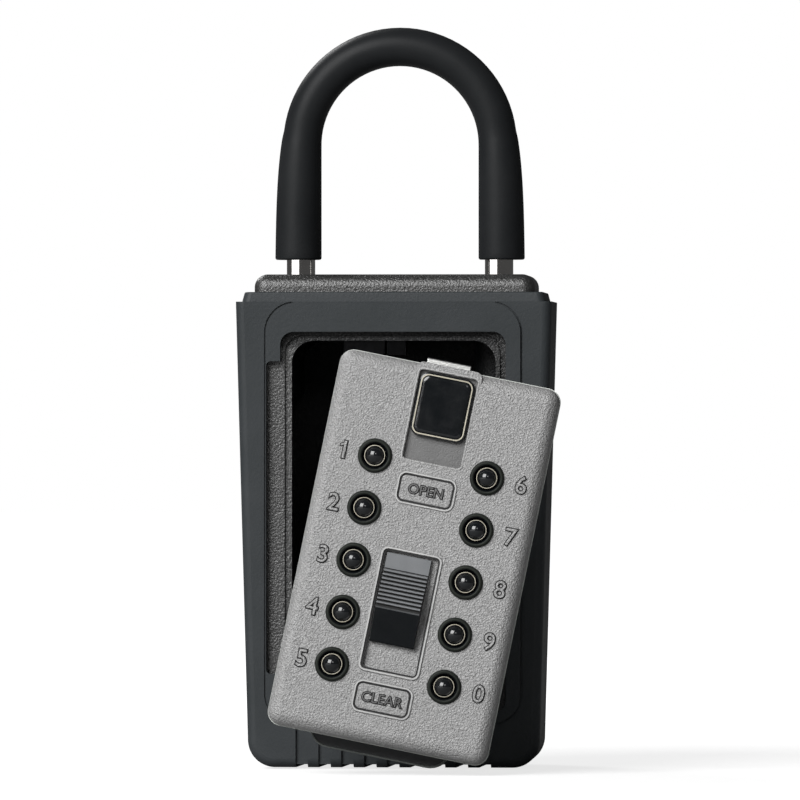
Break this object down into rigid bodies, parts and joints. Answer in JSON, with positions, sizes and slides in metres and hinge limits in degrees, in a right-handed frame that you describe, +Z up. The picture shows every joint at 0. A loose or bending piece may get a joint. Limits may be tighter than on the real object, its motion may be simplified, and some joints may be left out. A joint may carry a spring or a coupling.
{
  "type": "key lock box",
  "caption": "Portable push-button key safe with a sleeved shackle, rubber bumper jacket and a lift-off cover carrying digit buttons, an opening slide and a clearing slide.",
  "frame": {"origin": "hang point: the inner crown of the shackle's sleeve, on the shackle's centre plane", "axes": "+X to the right of the front, +Y to the back, +Z up"},
  "size_m": [0.0837, 0.09, 0.1844],
  "materials": {
    "case_black": "black powder coat, fine texture",
    "jacket_vinyl": "matte charcoal moulded vinyl",
    "shackle_chrome": "polished chrome plate",
    "sleeve_vinyl": "satin black vinyl",
    "black_oxide": "blackened steel",
    "zinc_plated": "bright zinc plate",
    "cover_titanium": "grey textured powder coat",
    "housing_black": "matte black",
    "gloss_black": "gloss black",
    "clear_grey": "satin dark grey",
    "brass": "plain",
    "spring_steel": "music wire"
  },
  "bodies": {
    "case": {"case_body": "case_black", "bumper_jacket": "jacket_vinyl", "shackle_heel_pin": "zinc_plated", "latch_guide_plate": "black_oxide", "latch_plate_screws": "black_oxide"},
    "shackle": {"shackle": "shackle_chrome", "shackle_sleeve": "sleeve_vinyl"},
    "shackle_latch": {"shackle_latch": "black_oxide"},
    "interlock_plunger": {"interlock_plunger": "brass"},
    "interlock_ball": {"interlock_ball": "zinc_plated"},
    "rocker_rod": {"rocker_rod": "zinc_plated"},
    "lid": {"lid_cover": "cover_titanium", "mechanism_housing": "housing_black", "rear_plate": "zinc_plated", "rear_plate_screws": "zinc_plated", "gate_plate": "zinc_plated", "button_bezels": "gloss_black", "open_spring": "spring_steel", "clear_spring": "spring_steel", "button_spring_1": "spring_steel", "button_spring_2": "spring_steel", "button_spring_3": "spring_steel", "button_spring_4": "spring_steel", "button_spring_5": "spring_steel", "button_spring_6": "spring_steel", "button_spring_7": "spring_steel", "button_spring_8": "spring_steel", "button_spring_9": "spring_steel", "button_spring_0": "spring_steel"},
    "open_slide": {"open_button": "gloss_black", "latch_bolt": "zinc_plated"},
    "clear_slide": {"clear_slide": "clear_grey"},
    "button_1": {"button_1": "gloss_black"},
    "button_2": {"button_2": "gloss_black"},
    "button_3": {"button_3": "gloss_black"},
    "button_4": {"button_4": "gloss_black"},
    "button_5": {"button_5": "gloss_black"},
    "button_6": {"button_6": "gloss_black"},
    "button_7": {"button_7": "gloss_black"},
    "button_8": {"button_8": "gloss_black"},
    "button_9": {"button_9": "gloss_black"},
    "button_0": {"button_0": "gloss_black"},
    "code_tumbler_1": {"code_tumbler_1": "brass"},
    "code_tumbler_2": {"code_tumbler_2": "brass"},
    "code_tumbler_3": {"code_tumbler_3": "brass"},
    "code_tumbler_4": {"code_tumbler_4": "brass"},
    "code_tumbler_5": {"code_tumbler_5": "brass"},
    "code_tumbler_6": {"code_tumbler_6": "brass"},
    "code_tumbler_7": {"code_tumbler_7": "brass"},
    "code_tumbler_8": {"code_tumbler_8": "brass"},
    "code_tumbler_9": {"code_tumbler_9": "brass"},
    "code_tumbler_0": {"code_tumbler_0": "brass"}
  },
  "joints": [
    {"name": "shackle_lift", "type": "slide", "parent": "case", "child": "shackle", "axis": [0, 0, 1], "range_m": [0, 0.0135]},
    {"name": "shackle_latch_slide", "type": "slide", "parent": "case", "child": "shackle_latch", "axis": [1, 0, 0], "range_m": [-0.0022, 0]},
    {"name": "lid_seat", "type": "slide", "parent": "case", "child": "interlock_plunger", "axis": [0, 0, -1], "range_m": [0, 0.01]},
    {"name": "lid_turn", "type": "hinge", "parent": "interlock_plunger", "child": "interlock_ball", "pos_m": [0.014, 0.009, -0.0658], "axis": [0.8557, -0.5142, -0.0586], "range_deg": [0, 22.13]},
    {"name": "lid_pull", "type": "slide", "parent": "interlock_ball", "child": "rocker_rod", "axis": [-0.3258, 0.459, 0.8265], "range_m": [0, 0.04259]},
    {"name": "lid_tilt", "type": "hinge", "parent": "rocker_rod", "child": "lid", "pos_m": [-0.00013, -0.06493, -0.16632], "axis": [-0.9803, 0.0103, 0.1974], "range_deg": [0, 16]},
    {"name": "open_slide_travel", "type": "slide", "parent": "lid", "child": "open_slide", "axis": [-0.1977, -0.0513, -0.9789], "range_m": [0, 0.0055], "stiffness_N_per_m": 300, "springref_m": -0.002},
    {"name": "clear_slide_travel", "type": "slide", "parent": "lid", "child": "clear_slide", "axis": [-0.1977, -0.0513, -0.9789], "range_m": [0, 0.0055], "stiffness_N_per_m": 300, "springref_m": -0.002},
    {"name": "button_1_press", "type": "slide", "parent": "lid", "child": "button_1", "axis": [0, 0.9986, -0.0523], "range_m": [0, 0.0016], "stiffness_N_per_m": 400, "springref_m": -0.001},
    {"name": "button_2_press", "type": "slide", "parent": "lid", "child": "button_2", "axis": [0, 0.9986, -0.0523], "range_m": [0, 0.0016], "stiffness_N_per_m": 400, "springref_m": -0.001},
    {"name": "button_3_press", "type": "slide", "parent": "lid", "child": "button_3", "axis": [0, 0.9986, -0.0523], "range_m": [0, 0.0016], "stiffness_N_per_m": 400, "springref_m": -0.001},
    {"name": "button_4_press", "type": "slide", "parent": "lid", "child": "button_4", "axis": [0, 0.9986, -0.0523], "range_m": [0, 0.0016], "stiffness_N_per_m": 400, "springref_m": -0.001},
    {"name": "button_5_press", "type": "slide", "parent": "lid", "child": "button_5", "axis": [0, 0.9986, -0.0523], "range_m": [0, 0.0016], "stiffness_N_per_m": 400, "springref_m": -0.001},
    {"name": "button_6_press", "type": "slide", "parent": "lid", "child": "button_6", "axis": [0, 0.9986, -0.0523], "range_m": [0, 0.0016], "stiffness_N_per_m": 400, "springref_m": -0.001},
    {"name": "button_7_press", "type": "slide", "parent": "lid", "child": "button_7", "axis": [0, 0.9986, -0.0523], "range_m": [0, 0.0016], "stiffness_N_per_m": 400, "springref_m": -0.001},
    {"name": "button_8_press", "type": "slide", "parent": "lid", "child": "button_8", "axis": [0, 0.9986, -0.0523], "range_m": [0, 0.0016], "stiffness_N_per_m": 400, "springref_m": -0.001},
    {"name": "button_9_press", "type": "slide", "parent": "lid", "child": "button_9", "axis": [0, 0.9986, -0.0523], "range_m": [0, 0.0016], "stiffness_N_per_m": 400, "springref_m": -0.001},
    {"name": "button_0_press", "type": "slide", "parent": "lid", "child": "button_0", "axis": [0, 0.9986, -0.0523], "range_m": [0, 0.0016], "stiffness_N_per_m": 400, "springref_m": -0.001},
    {"name": "code_tumbler_1_turn", "type": "hinge", "parent": "lid", "child": "code_tumbler_1", "pos_m": [-0.00048, -0.05083, -0.09783], "axis": [0, -0.9986, 0.0523], "range_deg": [0, 180]},
    {"name": "code_tumbler_2_turn", "type": "hinge", "parent": "lid", "child": "code_tumbler_2", "pos_m": [-0.00304, -0.0515, -0.11054], "axis": [0, -0.9986, 0.0523], "range_deg": [0, 180]},
    {"name": "code_tumbler_3_turn", "type": "hinge", "parent": "lid", "child": "code_tumbler_3", "pos_m": [-0.00561, -0.05216, -0.12325], "axis": [0, -0.9986, 0.0523], "range_deg": [0, 180]},
    {"name": "code_tumbler_4_turn", "type": "hinge", "parent": "lid", "child": "code_tumbler_4", "pos_m": [-0.00817, -0.05283, -0.13595], "axis": [0, -0.9986, 0.0523], "range_deg": [0, 180]},
    {"name": "code_tumbler_5_turn", "type": "hinge", "parent": "lid", "child": "code_tumbler_5", "pos_m": [-0.01074, -0.05349, -0.14866], "axis": [0, -0.9986, 0.0523], "range_deg": [0, 180]},
    {"name": "code_tumbler_6_turn", "type": "hinge", "parent": "lid", "child": "code_tumbler_6", "pos_m": [0.02697, -0.05112, -0.10336], "axis": [0, -0.9986, 0.0523], "range_deg": [0, 180]},
    {"name": "code_tumbler_7_turn", "type": "hinge", "parent": "lid", "child": "code_tumbler_7", "pos_m": [0.02441, -0.05179, -0.11607], "axis": [0, -0.9986, 0.0523], "range_deg": [0, 180]},
    {"name": "code_tumbler_8_turn", "type": "hinge", "parent": "lid", "child": "code_tumbler_8", "pos_m": [0.02184, -0.05245, -0.12877], "axis": [0, -0.9986, 0.0523], "range_deg": [0, 180]},
    {"name": "code_tumbler_9_turn", "type": "hinge", "parent": "lid", "child": "code_tumbler_9", "pos_m": [0.01928, -0.05312, -0.14148], "axis": [0, -0.9986, 0.0523], "range_deg": [0, 180]},
    {"name": "code_tumbler_0_turn", "type": "hinge", "parent": "lid", "child": "code_tumbler_0", "pos_m": [0.01671, -0.05378, -0.15419], "axis": [0, -0.9986, 0.0523], "range_deg": [0, 180]}
  ],
  "couplings": [
    {"joint": "lid_turn", "follows": "lid_pull", "rad_per_m": 9.0698}
  ]
}
